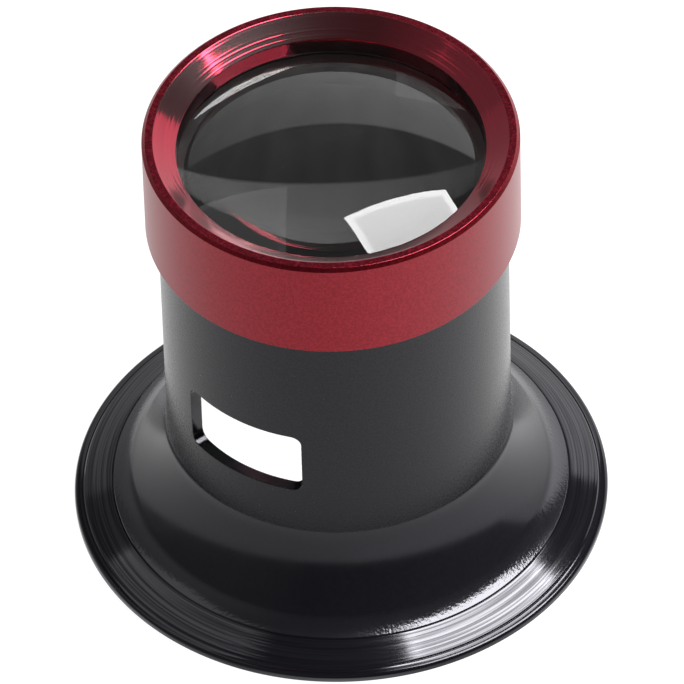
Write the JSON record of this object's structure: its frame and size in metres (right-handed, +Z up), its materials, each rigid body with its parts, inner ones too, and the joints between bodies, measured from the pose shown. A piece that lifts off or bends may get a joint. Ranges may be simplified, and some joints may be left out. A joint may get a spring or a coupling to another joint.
{
  "type": "eye loupe",
  "caption": "Watchmaker's eye loupe: flared black eyecup and barrel with a side window, red screw-on head ring, one thick plano-convex lens and a slotted retaining ring.",
  "frame": {"origin": "centre of the eyecup's rim, in the plane that the loupe rests on", "axes": "+Z up the optical axis, from the eyecup to the head ring; the window in the barrel faces -Y"},
  "size_m": [0.0436, 0.0436, 0.0402],
  "materials": {
    "black_anodised": "black anodised aluminium, fine satin, glossier on the flare, with turning marks",
    "red_anodised": "red anodised aluminium, satin, with turning marks in the cone",
    "optical_glass": "polished clear optical glass",
    "matt_black": "matt black anodised aluminium"
  },
  "bodies": {
    "barrel": {"eyecup_barrel": "black_anodised"},
    "lens_carrier": {"magnifier_lens": "optical_glass"},
    "head": {"head_ring": "red_anodised", "retaining_ring": "matt_black"}
  },
  "joints": [
    {"name": "lens_lift", "type": "slide", "parent": "barrel", "child": "lens_carrier", "axis": [0, 0, 1], "range_m": [0, 0.0027]},
    {"name": "head_turn", "type": "hinge", "parent": "lens_carrier", "child": "head", "pos_m": [0, 0, 0.031], "axis": [0, 0, 1], "range_deg": [0, 1296]}
  ],
  "couplings": [
    {"joint": "lens_lift", "follows": "head_turn", "m_per_rad": 0.00011937}
  ]
}
